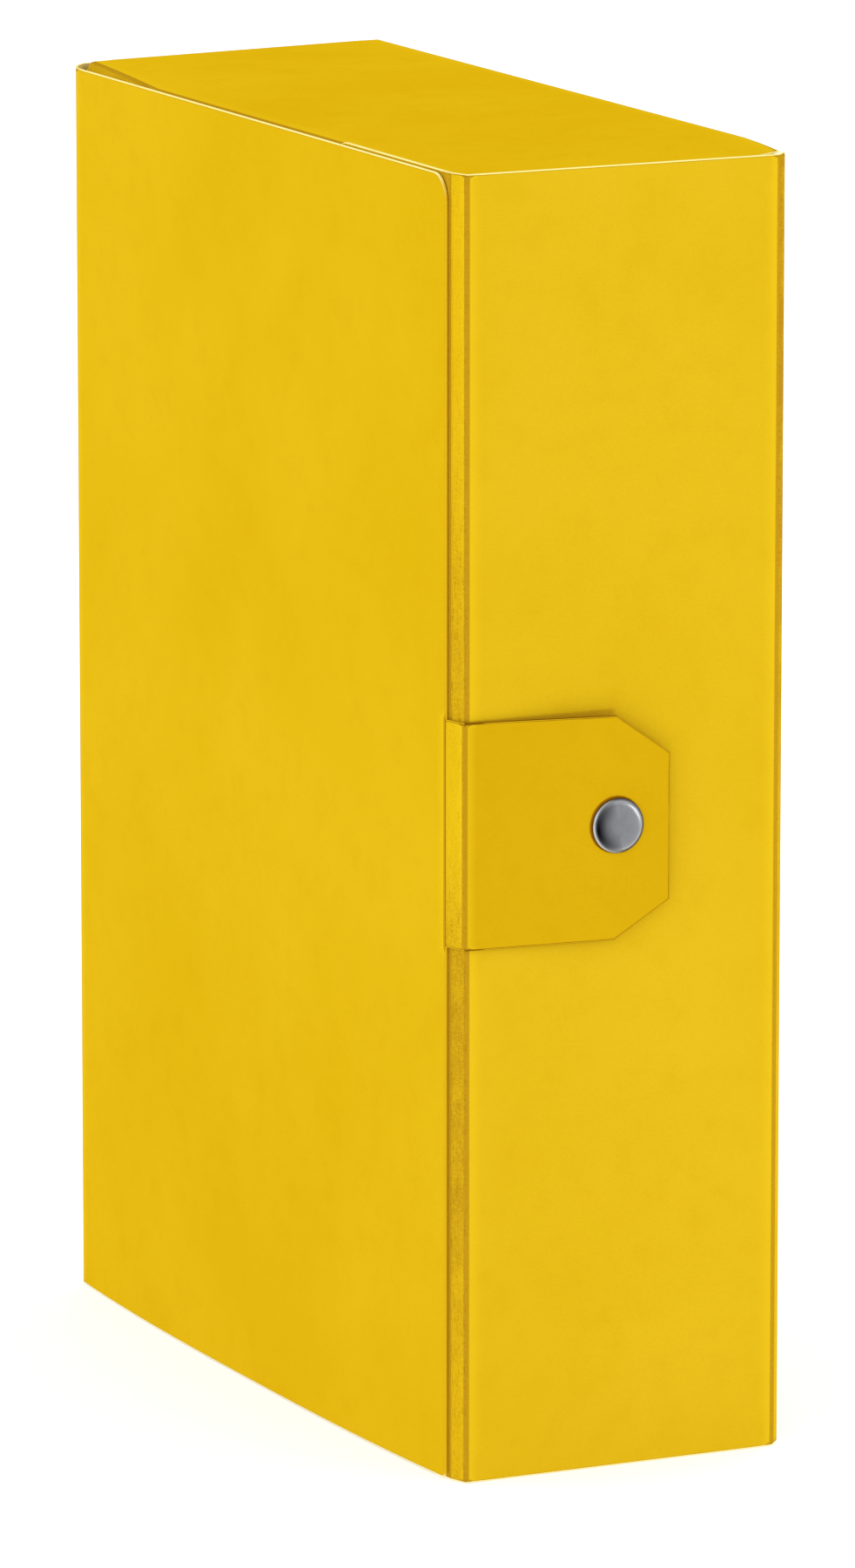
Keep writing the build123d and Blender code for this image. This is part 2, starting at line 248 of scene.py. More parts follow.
def stud_painted_shadow(n, rest, stud, fibre):
    """Painted shadow on the board round the press stud's cap, most on its upper left."""
    apart = n.vector("DISTANCE", rest, stud, "Value")
    side = n.vector("DOT_PRODUCT", n.vector("SUBTRACT", rest, stud), STUD_SHADOW_SIDE, "Value")
    ragged = n.remap(fibre, 0.3, 0.7, -0.06, 0.06)
    width = n.math("ADD", n.remap(side, -4.0, 7.0, 0.12, 0.95), ragged)
    reach = n.math("DIVIDE", n.math("SUBTRACT", apart, CAP_RADIUS), width)
    strength = n.remap(side, -7.0, 0.0, 0.35, 1.0)
    return n.math("MULTIPLY", n.remap(reach, 0.45, 1.1, 0.85, 0.0), strength)


def varnish(name, light, base, deep, edge_wear_and_shade=0.45, tab_shadow_painted=False, streaked=False, stud=None):
    """Outer face: yellow varnish over board fibres, browned in the grooves and along cut edges as wear
    and as painted shade, with a painted highlight on the grooves' lips.
    """
    n = Nodes(name)
    rest = n.attribute("rest_place", "Vector")
    fold = n.attribute("fold_distance")
    edge = n.attribute("edge_distance")
    cloud = n.noise(rest, 0.012, 3.0)
    patch = n.noise(rest, 0.11, 4.0, 0.6)
    fibre = n.noise(rest, 0.9, 5.0, 0.65, (1.0, 1.0, 2.2))
    grain = n.noise(rest, 2.6, 3.0, 0.6)
    colour = n.mix(n.remap(cloud, 0.3, 0.7, 0.15, 0.85), base, light)
    colour = n.mix(n.remap(patch, 0.45, 0.75, 0.0, 0.20), colour, deep)
    colour = n.mix(n.remap(fibre, 0.45, 0.75, 0.0, 0.22), colour, deep)
    colour = n.mix(n.remap(grain, 0.40, 0.8, 0.0, 0.22), colour, rgb(196, 144, 4))
    # painted highlight on the lip beside each groove
    lip = n.math("MULTIPLY", n.remap(fold, 0.9, 1.15), n.remap(fold, 1.15, 1.8, 1.0, 0.0))
    colour = n.mix(n.math("MULTIPLY", lip, 0.35), colour, rgb(236, 198, 28))
    # brown in the grooves: worn varnish and painted shade of the groove
    ragged = n.math("ADD", fold, n.math("MULTIPLY", n.math("SUBTRACT", grain, 0.5), 0.35))
    uneven = n.remap(n.math("ADD", patch, fibre), 0.75, 1.2, 0.7, 1.3)
    mottled = n.math("MULTIPLY", n.attribute("browned"), uneven)
    brown = n.math("MAXIMUM", n.remap(ragged, 0.80, 1.08, 0.8, 0.0), mottled)
    # painted shadow of the tab's upper edge on the fore-edge wall
    if tab_shadow_painted:
        brown = n.math("MAXIMUM", brown, tab_edge_painted_shadow(n, rest, fibre))
    colour = n.mix(brown, colour, n.mix(fibre, rgb(188, 144, 28), rgb(168, 122, 18)))
    # painted shadow round the press stud's cap
    if stud:
        colour = n.mix(stud_painted_shadow(n, rest, stud, fibre), colour, rgb(122, 62, 6))
    if streaked:
        streak = n.noise(rest, 1.6, 4.0, 0.7, (2.4, 2.4, 0.12))
        broken = n.math("MULTIPLY", n.remap(streak, 0.50, 0.60), n.remap(fibre, 0.40, 0.55))
        strength = n.remap(n.attribute("browned"), 0.0, 0.3, 0.25, 0.5)
        colour = n.mix(n.math("MULTIPLY", broken, strength), colour, rgb(146, 100, 14))
    crumbs = n.math("MULTIPLY", n.remap(grain, 0.60, 0.66), n.remap(fold, 0.6, 1.25, 0.5, 0.0))
    colour = n.mix(crumbs, colour, rgb(128, 84, 12))
    # dark line along cut edges: wear, and on the tab painted shade
    worn_and_shaded = n.math("ADD", edge, n.math("MULTIPLY", n.math("SUBTRACT", patch, 0.5), 0.3))
    colour = n.mix(n.remap(worn_and_shaded, 0.3, 0.56, edge_wear_and_shade, 0.0), colour, rgb(128, 80, 8))
    rough = n.remap(patch, 0.3, 0.7, 0.42, 0.52)
    relief = n.bump(fibre, 0.10, 0.00010)
    relief = n.bump(grain, 0.08, 0.00004, relief)
    relief = n.bump(patch, 0.10, 0.00030, relief)
    return n.finish(Base_Color=colour, Roughness=rough, Normal=relief, Specular_IOR_Level=0.0)


def cut_board(name):
    """Raw die-cut edge: cream plies with torn fibres, yellowed where hands rub it, then soiled and
    painted darker as shade towards the board's inner side.

    The edge value is 0 for a fresh edge, 1 for a yellowed one and 2 for one that also carries the painted
    shade.
    """
    n = Nodes(name)
    rest = n.attribute("rest_place", "Vector")
    ply = n.attribute("ply")
    handled = n.attribute("handled")
    fibre = n.noise(rest, 2.4, 4.0, 0.7)
    patch = n.noise(rest, 0.12, 3.0)
    depth = n.math("ADD", ply, n.math("MULTIPLY", fibre, 0.05))
    layers = n.math("SINE", n.math("MULTIPLY", depth, 38.0))
    colour = n.mix(n.remap(layers, -1.0, 1.0), rgb(255, 243, 164), rgb(255, 235, 140))
    colour = n.mix(n.remap(fibre, 0.5, 0.8, 0.0, 0.35), colour, rgb(255, 243, 178))
    colour = n.mix(n.remap(patch, 0.55, 0.75, 0.0, 0.25), colour, rgb(232, 196, 84))
    rubbed = n.mix(n.remap(fibre, 0.4, 0.8, 0.0, 0.5), rgb(222, 180, 26), rgb(212, 168, 24))
    colour = n.mix(n.math("MINIMUM", handled, 1.0), colour, rubbed)
    # painted shade, with soiling, on the inner plies of the tab's edges
    soiled_and_shaded = n.math("MULTIPLY", n.math("SUBTRACT", handled, 1.0), n.remap(ply, 0.0, 0.12))
    colour = n.mix(n.math("MAXIMUM", soiled_and_shaded, 0.0), colour, rgb(112, 68, 6))
    rough = n.remap(fibre, 0.3, 0.7, 0.75, 0.9)
    relief = n.bump(fibre, 0.5, 0.0001)
    return n.finish(Base_Color=colour, Roughness=rough, Normal=relief, Specular_IOR_Level=0.0)


def inner_board(name):
    """Inside face: uncoated pale board with fibres and fine flecks, painted darker beside the folds as
    shade.
    """
    n = Nodes(name)
    rest = n.attribute("rest_place", "Vector")
    fold = n.attribute("fold_distance")
    cloud = n.noise(rest, 0.02, 3.0)
    fibre = n.noise(rest, 0.9, 5.0, 0.7, (1.0, 1.0, 3.0))
    fleck = n.noise(rest, 1.7, 2.0)
    colour = n.mix(n.remap(cloud, 0.35, 0.65), rgb(236, 211, 126), rgb(234, 208, 120))
    colour = n.mix(n.remap(fibre, 0.5, 0.75, 0.0, 0.4), colour, rgb(246, 228, 156))
    colour = n.mix(n.remap(fleck, 0.66, 0.74, 0.0, 0.5), colour, rgb(176, 140, 66))
    # painted shade beside the folds
    colour = n.mix(n.remap(fold, 0.4, 1.4, 0.35, 0.0), colour, rgb(206, 170, 84))
    rough = n.remap(fibre, 0.3, 0.7, 0.72, 0.88)
    relief = n.bump(fibre, 0.35, 0.00012)
    return n.finish(Base_Color=colour, Roughness=rough, Normal=relief, Specular_IOR_Level=0.18)


def metal(name, face, patina_and_shade_tone, roughness):
    """Plated sheet metal: spun marks round its axis, fine scratches, darker oxide in its hollows, and on
    the press stud's cap painted shade and a painted highlight.
    """
    n = Nodes(name)
    rest = n.attribute("rest_place", "Vector")
    radius = n.attribute("radius_share")
    patina_and_shade = n.attribute("patina_and_shade")
    cloud = n.noise(rest, 0.35, 4.0, 0.6)
    pits = n.noise(rest, 2.6, 3.0)
    rings = n.noise(n.add("ShaderNodeCombineXYZ", {"X": radius}).outputs[0], 42.0, 3.0, 0.7)
    scratch = n.noise(rest, 1.2, 3.0, 0.7, (6.0, 6.0, 0.5))
    colour = n.mix(n.remap(cloud, 0.35, 0.7, 0.0, 0.10), face, patina_and_shade_tone)
    colour = n.mix(n.remap(pits, 0.6, 0.75, 0.0, 0.12), colour, patina_and_shade_tone)
    # oxide in hollows; on the cap painted shade and a painted highlight
    colour = n.mix(patina_and_shade, colour, patina_and_shade_tone)
    rough = n.remap(scratch, 0.3, 0.7, roughness - 0.06, roughness + 0.08)
    relief = n.bump(rings, 0.12, 0.00003)
    relief = n.bump(scratch, 0.08, 0.00002, relief)
    return n.finish(Base_Color=colour, Roughness=rough, Normal=relief, Metallic=1.0)


# Copies of one yellow varnish, lighter or darker per face: the differences are painted light and shade.
# The wall's copy also carries the tab's painted shadow.
YELLOW = varnish("yellow_varnish", rgb(221, 182, 24), rgb(214, 174, 14), rgb(204, 162, 8))
WALL_YELLOW = varnish("yellow_varnish_wall", rgb(218, 181, 30), rgb(211, 173, 20), rgb(201, 161, 11),
                      tab_shadow_painted=True)
LID_YELLOW = varnish("yellow_varnish_lid", rgb(230, 188, 20), rgb(223, 179, 12), rgb(212, 167, 7))
CREASED_YELLOW = varnish("yellow_varnish_creased", rgb(229, 190, 26), rgb(221, 181, 17),
                         rgb(208, 165, 8), edge_wear_and_shade=0.8, streaked=True)
CREAM = cut_board("cut_edge")
INSIDE = inner_board("board_inside")
# its near-black tone also paints the cap's shade and dark reflection
DARK_NICKEL = metal("dark_nickel", rgb(196, 197, 201), rgb(14, 15, 20), 0.24)
NICKEL = metal("nickel", rgb(196, 192, 182), rgb(120, 114, 102), 0.28)
SPRING_STEEL = metal("spring_steel", rgb(170, 170, 172), rgb(90, 88, 86), 0.3)


# ---- boards ----
def rounded(before, corner, after, radius, pieces=8):
    """Points of a rounded corner between two outline points."""
    a = (Vector(before) - Vector(corner)).normalized()
    b = (Vector(after) - Vector(corner)).normalized()
    half = a.angle(b) / 2
    centre = Vector(corner) + (a + b).normalized() * radius / sin(half)
    start = Vector(corner) + a * radius / tan(half) - centre
    end = Vector(corner) + b * radius / tan(half) - centre
    sweep = start.angle_signed(end)
    points = []
    for k in range(pieces + 1):
        turned = Matrix.Rotation(-sweep * k / pieces, 2) @ start
        points.append(tuple(centre + turned))
    return points


class Score:
    """Cross-section of a scored fold beside one board, for the angle that the board turns there."""

    def __init__(self, turn, size):
        half = radians(turn) / 2
        depth = SCORE_DEPTH * size
        self.radius = SCORE_RADIUS * size
        self.centre = (-(self.radius - depth) * sin(half), (self.radius - depth) * cos(half))
        self.border = depth * sin(half)                # where the outer face ends
        self.border_height = -depth * cos(half)
        self.inner = BOARD * tan(half)                 # where the inner face ends

    def height(self, distance):
        """Height of the outer face at a distance from the fold line, never above the flat face."""
        across = max(distance, 0.0) - self.centre[0]
        if across >= self.radius:
            return 0.0
        arc = self.centre[1] - sqrt(self.radius ** 2 - across ** 2)
        blend = max(SCORE_LIP - abs(arc), 0.0) / SCORE_LIP
        return min(arc, 0.0) - blend * blend * SCORE_LIP / 4

    def end_drop(self, drop):
        """Depth of a ring on the fold's end face, which starts at the bottom of the groove."""
        return max(drop, END_SHARE * drop - self.border_height)

    def inset(self, height):
        """How far in from the fold line the end face is, at a height in the board."""
        share = (self.border_height - height) / (self.border_height + BOARD)
        return self.border + (self.inner - self.border) * max(share, 0.0)


class Side:
    """One straight side of a board's outline: a cut edge, or a fold if turn is given."""

    def __init__(self, start, end, turn, size):
        self.start = Vector(start)
        self.length = (Vector(end) - self.start).length
        self.along = (Vector(end) - self.start) / self.length
        self.inward = Vector((-self.along.y, self.along.x))
        self.score = Score(turn, size) if turn else None
        self.open_ends = True

    def distance(self, point):
        return (point - self.start).dot(self.inward)

    def reaches(self, point):
        """Whether the fold's groove runs past this point of the board."""
        along = (point - self.start).dot(self.along)
        return self.open_ends or 0 <= along <= self.length


def meet(corner, side, inset, other, other_inset):
    """Where two sides' inset lines cross, near their shared corner."""
    a, b = side.inward, other.inward
    cross = a.x * b.y - a.y * b.x
    if abs(cross) < PARALLEL:
        return corner + a * inset
    x = (inset * b.y - other_inset * a.y) / cross
    y = (a.x * other_inset - b.x * inset) / cross
    return corner + Vector((x, y))


def encloses(outline, point):
    """Whether a point is inside a closed outline."""
    inside = False
    for a, b in zip(outline, outline[1:] + outline[:1]):
        if (a.y > point.y) != (b.y > point.y):
            crossing = a.x + (b.x - a.x) * (point.y - a.y) / (b.y - a.y)
            inside ^= crossing > point.x
    return inside


def flat(u, v):
    return 0.0


class Board:
    """A board's closed mesh: outer face, scored or cut sides and inner face.

    turns: for each side, the degrees turned at its fold, or None for a cut edge
    form, browned: height and browning of the board as functions of u and v, the browning partly painted
    shade
    short_folds: whether the grooves end where their sides end
    handled: how worn the upright and the level cut edges are; above 1 they also carry painted shade
    clean: numbers of the sides whose folds aren't browned
    """

    def __init__(self, corners, turns, form=flat, holes=(), grid=GRID, short_folds=False,
                 narrow=False, handled=(0.3, 0.0), browned=flat, clean=()):
        count = len(corners)
        size = NARROW if narrow else 1.0
        self.size = size
        self.form = form
        self.grid = grid
        self.rim = RIM * size
        self.bevel = CUT_BEVEL * (NARROW_BEVEL if narrow else 1.0)
        self.handled = handled
        self.browned = browned
        self.sides = [Side(corners[k], corners[(k + 1) % count], turns[k], size)
                      for k in range(count)]
        self.folds = [side for side in self.sides if side.score]
        for side in self.folds:
            side.open_ends = not short_folds
        # folds whose grooves are browned, as wear and as painted shade
        self.soiled_and_shaded = [side for k, side in enumerate(self.sides)
                       if side.score and k not in clean]
        self.holes = holes
        self.mesh = bmesh.new()
        names = ("fold_distance", "edge_distance", "ply", "handled", "browned")
        self.layers = {name: self.mesh.verts.layers.float.new(name) for name in names}
        self.build()

    def face_height(self, point):
        grooves = [s.score.height(s.distance(point)) for s in self.folds if s.reaches(point)]
        return min(grooves, default=0.0)

    def vertex(self, point, height):
        """A vertex at height above or below the board's own outer surface."""
        vertex = self.mesh.verts.new((point.x, point.y, height + self.form(point.x, point.y)))
        folds = [s.distance(point) for s in self.soiled_and_shaded if s.reaches(point)]
        edges = [s.distance(point) for s in self.sides if not s.score]
        vertex[self.layers["fold_distance"]] = min(folds + [REACH]) / self.size
        vertex[self.layers["edge_distance"]] = min(edges + [REACH])
        vertex[self.layers["ply"]] = -height / BOARD
        vertex[self.layers["browned"]] = self.browned(point.x, point.y)
        nearest = min(self.sides, key=lambda side: abs(side.distance(point)))
        upright, level = nearest.inward.x ** 2, nearest.inward.y ** 2
        vertex[self.layers["handled"]] = self.handled[0] * upright + self.handled[1] * level
        return vertex

    def ring_points(self, cut_inset, fold_inset):
        """Points of the outline moved inwards, the same number at every inset."""
        insets = [fold_inset(s.score) if s.score else cut_inset for s in self.sides]
        count = len(self.sides)
        points = []
        for k, side in enumerate(self.sides):
            before, after = (k - 1) % count, (k + 1) % count
            start = meet(side.start, side, insets[k], self.sides[before], insets[before])
            corner = self.sides[after].start
            end = meet(corner, side, insets[k], self.sides[after], insets[after])
            steps = max(1, round(side.length / SAMPLE))
            kept = steps + 1 if self.in_line(side, self.sides[after]) else steps
            points += [(start.lerp(end, j / steps), side) for j in range(kept)]
        return points

    @staticmethod
    def in_line(side, other):
        return abs(side.inward.cross(other.inward)) < PARALLEL

    def ring(self, cut_inset, fold_inset, drop=None):
        """A ring of vertices: on the outer face, or drop below it."""
        ring = []
        for point, side in self.ring_points(cut_inset, fold_inset):
            height = self.face_height(point)
            if drop is not None:
                height = min(height, -(side.score.end_drop(drop) if side.score else drop))
            ring.append(self.vertex(point, height))
        return ring

    def side_ring(self, inset, drop):
        """A ring on the end faces, where a fold's end face leans towards the bisector."""
        return self.ring(inset, lambda score: score.inset(-score.end_drop(drop)), drop)

    def build(self):
        def face_ring(share):
            return self.ring(
                self.bevel + (self.rim - self.bevel) * share,
                lambda score: score.border + (self.rim - score.border) * share,
            )

        def bevel_ring(bevel, angle, top):
            drop = bevel * (1 - cos(angle))
            return self.side_ring(bevel * (1 - sin(angle)), drop if top else BOARD - drop)

        outer = [face_ring(share) for share in RIM_STEPS]
        edge = [bevel_ring(self.bevel, angle, True) for angle in (pi / 6, pi / 3, pi / 2)]
        edge += [bevel_ring(INNER_BEVEL, angle, False) for angle in (pi / 2, pi / 4, 0.0)]
        inner = [self.ring(self.rim, lambda score: score.inner + self.rim / 2, BOARD)]
        rings = outer + edge + inner
        for k in range(len(rings) - 1):
            material = 0 if k < len(outer) - 1 else 1 if k < len(outer) + len(edge) - 1 else 2
            self.strip(rings[k], rings[k + 1], material)
        outer_holes, inner_holes = [], []
        for centre, radius in self.holes:
            loops = [self.hole_ring(centre, radius, height) for height in (0.0, -BOARD)]
            self.strip(loops[1], loops[0], 1)
            outer_holes.append(loops[0])
            inner_holes.append(loops[1])
        self.cap(rings[0], outer_holes, 0.0, 0)
        self.cap(rings[-1], inner_holes, -BOARD, 2)
        bmesh.ops.remove_doubles(self.mesh, verts=self.mesh.verts, dist=WELD)
        bmesh.ops.recalc_face_normals(self.mesh, faces=self.mesh.faces)

    def hole_ring(self, centre, radius, height, count=40):
        turn = 2 * pi / count
        points = [Vector((cos(k * turn), sin(k * turn))) * radius for k in range(count)]
        return [self.vertex(Vector(centre) + point, height) for point in points]

    def strip(self, ring, other, material):
        for k in range(len(ring)):
            m = (k + 1) % len(ring)
            face = self.mesh.faces.new((ring[k], ring[m], other[m], other[k]))
            face.material_index = material

    def inside(self, point, margin):
        if any(side.distance(point) < margin for side in self.sides):
            return False
        return all((point - Vector(centre)).length > radius + HOLE_MARGIN
                   for centre, radius in self.holes)

    @staticmethod
    def bowed(points):
        """Points moved a hair outwards, so that straight sides are convex and give no slivers."""
        centre = sum(points, Vector((0, 0))) / len(points)
        offsets = [point - centre for point in points]
        reach = max(offset.length for offset in offsets)
        return [point + offset * BOW * (1 - (offset.length / reach) ** 2)
                for point, offset in zip(points, offsets)]

    def cap(self, loop, hole_loops, height, material):
        """Fills a face with triangles between its rim and a grid of points."""
        vertices = list(loop)
        faces = [list(range(len(loop)))]
        edges = []
        for ring in hole_loops:
            first = len(vertices)
            vertices += ring
            edges += [(first + k, first + (k + 1) % len(ring)) for k in range(len(ring))]
        xs = [v.co.x for v in loop]
        ys = [v.co.y for v in loop]
        columns = max(1, round((max(xs) - min(xs)) / self.grid))
        rows = max(1, round((max(ys) - min(ys)) / self.grid))
        for i in range(1, columns):
            for j in range(1, rows):
                x = min(xs) + (max(xs) - min(xs)) * i / columns
                y = min(ys) + (max(ys) - min(ys)) * j / rows
                point = Vector((x, y))
                if self.inside(point, self.rim + GRID_MARGIN * self.grid):
                    vertices.append(self.vertex(point, height))
        flat_points = self.bowed([v.co.to_2d() for v in vertices])
        outline = flat_points[:len(loop)]
        gaps = [[flat_points[vertices.index(vertex)] for vertex in ring]
                for ring in hole_loops]
        out = delaunay_2d_cdt(flat_points, edges, faces, 1, 1e-6, True)
        source = [vertices[ids[0]] for ids in out[3]]
        for triangle in out[2]:
            middle = sum((out[0][k] for k in triangle), Vector((0, 0))) / 3
            if not encloses(outline, middle) or any(encloses(gap, middle) for gap in gaps):
                continue
            face = self.mesh.faces.new([source[k] for k in triangle])
            face.material_index = material


def shown(name, mesh, materials, place):
    """An object from a mesh in millimetres, in its place in the frame."""
    data = bpy.data.meshes.new(name)
    mesh.to_mesh(data)
    mesh.free()
    data.transform(Matrix.Scale(MM, 4) @ place)
    for material in materials:
        data.materials.append(material)
    for polygon in data.polygons:
        polygon.use_smooth = True
    data.set_sharp_from_angle(angle=SMOOTH_ANGLE)
    rest = data.attributes.new("rest_place", "FLOAT_VECTOR", "POINT")
    for k, vertex in enumerate(data.vertices):
        rest.data[k].vector = vertex.co / MM
    obj = bpy.data.objects.new(name, data)
    bpy.context.scene.collection.objects.link(obj)
    return obj


def place(origin, u, v):
    """The matrix of a board's own frame."""
    u, v = Vector(u).normalized(), Vector(v).normalized()
    n = u.cross(v)
    matrix = Matrix((u, v, n)).transposed().to_4x4()
    matrix.translation = Vector(origin)
    return matrix


def attach(obj, node, body):
    """Makes an object ride on a body in place of a CAD node."""
    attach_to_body(obj, body)
    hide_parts(node)


def panel(node, body, where, corners, turns, outer=YELLOW, **options):
    """A rigid board between its folds and cut edges."""
    mesh = Board(corners, turns, **options).mesh
    obj = shown(node + "_board", mesh, (outer, CREAM, INSIDE), where)
    attach(obj, node, body)


def blended(mesh, where, node, outer=YELLOW):
    """A band's object, from one end of its chord to the other."""
    obj = shown(node + "_band", mesh, (outer, CREAM, INSIDE), where)
    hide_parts(node)
    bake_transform(obj)


def band(node, bodies, start, end, lengthwise, reach, turns, outer=YELLOW, **options):
    """A fold's band between two boards, from its chord's ends at mid-length.

    reach gives the lowest and highest place along the fold at the start and at the end of the chord.
    """
    start, end = Vector(start), Vector(end)
    width = (end - start).length
    (low_a, high_a), (low_b, high_b) = reach
    corners = [(0, low_a), (width, low_b), (width, high_b), (0, high_a)]
    mesh = Board(corners, [None, turns[1], None, turns[0]], **options).mesh
    blended(mesh, place(start, end - start, lengthwise), node, outer)


def turn_between(a, b):
    """Degrees from one section direction to the next."""
    return degrees(Vector(a).angle(Vector(b)))


UP = (0, 0, 1)
DOWN = (0, 0, -1)


def ease(value, low, high):
    """0 below low, 1 above high and smooth between."""
    share = min(max((value - low) / (high - low), 0.0), 1.0)
    return share * share * (3 - 2 * share)


DISH_BORDER = (2.0, 30.0)    # distances from a board's sides between which it starts to sink
DISH_WAVE = 90


def dished(seed, depth, half_width):
    """A form that lets a board of full height sink a little, unevenly, away from its borders."""
    def form(u, v):
        fade_u = ease(half_width - abs(u), *DISH_BORDER)
        fade_v = ease(HEIGHT / 2 - abs(v - HEIGHT / 2), *DISH_BORDER)
        wave = 0.5 + 0.5 * noise.noise(Vector((u / DISH_WAVE + seed, v / DISH_WAVE, seed)))
        return -depth * (fade_u * fade_v) * wave
    return form


def make_spine_side():
    half = BACK - SPINE_LEG
    corners = [(-half, 0), (half, 0), (half, HEIGHT), (-half, HEIGHT)]
    where = place((0, SPINE, 0), (-1, 0, 0), UP)
    panel("spine_panel", "spine", where, corners, [None, 45] * 2,
          form=dished(3.0, 0.5, half))
    whole = ((0, HEIGHT), (0, HEIGHT))
    band("back_spine_crease", ("back", "spine"), (BACK, SPINE_EDGE, 0), (half, SPINE, 0),
         UP, whole, (45, 45))
    band("spine_cover_crease", ("spine", "cover"), (-half, SPINE, 0), (FRONT, SPINE_EDGE, 0),
         UP, whole, (45, 45))


def make_back_cover():
    low, high = BACK_LOW, BACK_HIGH
    corners = [
        (-SPINE_EDGE, low + RELIEF_X), (-RELIEF_START, low),
        (RELIEF_START, low), (SPINE_EDGE, low + RELIEF_X),
        (SPINE_EDGE, high - RELIEF_X), (RELIEF_START, high),
        (-RELIEF_START, high), (-SPINE_EDGE, high - RELIEF_X),
    ]
    turns = [None, 45] * 4
    panel("back_cover", "back", place((BACK, 0, 0), (0, 1, 0), UP), corners, turns,
          form=dished(7.0, 0.6, SPINE_EDGE))


BULGE_FADE = 1.5         # how fast the cover's bulge fades upwards
BULGE_SHAPE = 2.6        # how flat it is between spine and fore-edge


def cover_form(u, v):
    """The front cover stands out towards its lower edge, flat-topped between spine and fore-edge."""
    near, far = -COVER_EDGE_Y, -SPINE_EDGE
    across = min(abs(2 * (u - far) / (near - far) - 1), 1.0)
    bulge = COVER_BULGE * max(1 - v / HEIGHT, 0.0) ** BULGE_FADE
    return bulge * (1 - across ** BULGE_SHAPE)


def make_front_cover():
    near, far = -COVER_EDGE_Y, -SPINE_EDGE
    low, high = COVER_LOW, COVER_HIGH
    bottom = rounded((far, low), (near, low), (near, high), COVER_RADIUS_LOW)
    top = rounded((near, low), (near, high), (far, high), COVER_RADIUS_TOP)
    tab = [(near, TAB_FOLD_Z[0]), (near, TAB_FOLD_Z[1])]
    corners = [(far, low)] + bottom + tab + top + [(far, high)]
    turns = [None] * len(corners)
    turns[-1] = 45
    tab_chord = (TAB_LEG_X, TAB_Y - COVER_EDGE_Y)
    turns[1 + len(bottom)] = turn_between((0, -1), tab_chord)
    where = place((FRONT, 0, 0), (0, -1, 0), UP)
    panel("front_cover", "cover", where, corners, turns, form=cover_form,
          short_folds=True, handled=(1.0, 0.0))


TAB_START = Vector((FRONT + TAB_LEG_X, TAB_Y, 0))
TAB_ALONG = Vector((cos(TAB_TILT), -sin(TAB_TILT), 0))
TAB_PLACE = place(TAB_START, TAB_ALONG, UP)
STUD_FOOT = TAB_PLACE @ Vector((STUD_ALONG_TAB, STUD_Z, SOCKET_LOW))
STUD_CENTRE = tuple(TAB_PLACE @ Vector((STUD_ALONG_TAB, STUD_Z, 0.0)))
# The tab's copy is darker as painted shade, with painted shade along its cut edges and the cap's painted
# shadow.
TAB_YELLOW = varnish("yellow_varnish_tab", rgb(207, 166, 15), rgb(202, 160, 11), rgb(193, 150, 7),
                     edge_wear_and_shade=0.95, stud=STUD_CENTRE)


def tab_band_browning(u, v):
    """Browning of the tab's band, on its lower half."""
    return 0.3 * ease(-v, -175, -150)


def make_tab():
    chord = (TAB_START.x - FRONT, TAB_START.y - COVER_EDGE_Y)
    turn = turn_between(chord, TAB_ALONG.to_2d())
    corners = [
        (0, TAB_FOLD_Z[0]), (TAB_CHAMFER_START, TAB_SHOULDER_Z[0]), (TAB_LENGTH, TAB_END_Z[0]),
        (TAB_LENGTH, TAB_END_Z[1]), (TAB_CHAMFER_START, TAB_SHOULDER_Z[1]), (0, TAB_FOLD_Z[1]),
    ]
    turns = [None] * 5 + [turn]

    def lifted(u, v):
        return TAB_LIFT * ease(u, *TAB_LIFT_ALONG) * ease(v, *TAB_LIFT_Z)

    panel("closure_tab", "tab", TAB_PLACE, corners, turns, outer=TAB_YELLOW, grid=6.0,
          holes=[((STUD_ALONG_TAB, STUD_Z), STUD_HOLE)], handled=(2.0, 1.9), form=lifted)
    band("cover_tab_crease", ("cover", "tab"), (FRONT, COVER_EDGE_Y, 0), TAB_START, UP,
         (TAB_FOLD_Z, TAB_FOLD_Z), (turn_between((0, -1), chord), turn), outer=CREASED_YELLOW,
         handled=(1.0, 1.3), browned=tab_band_browning, clean=(3,))


def near_corner_browning(u, v):
    """Browning of the near corner's band, most below the tab."""
    z = -v
    return 0.55 * ease(z, 20, 90) * (1 - ease(z, 140, 330)) + 0.2 * (1 - ease(z, 20, 90))


def flange_painted_shade(u, v):
    """Painted shade on the flange's corner that shows past the cover's rounded corner, in the gap behind
    the cover.
    """
    return 0.6 * ease(u, 104, 112) * ease(v, 336, 346)


def far_corner_browning(u, v):
    """Browning of the far corner's band, most at its top."""
    return 0.1 + 0.75 * ease(-v, 60, 300)


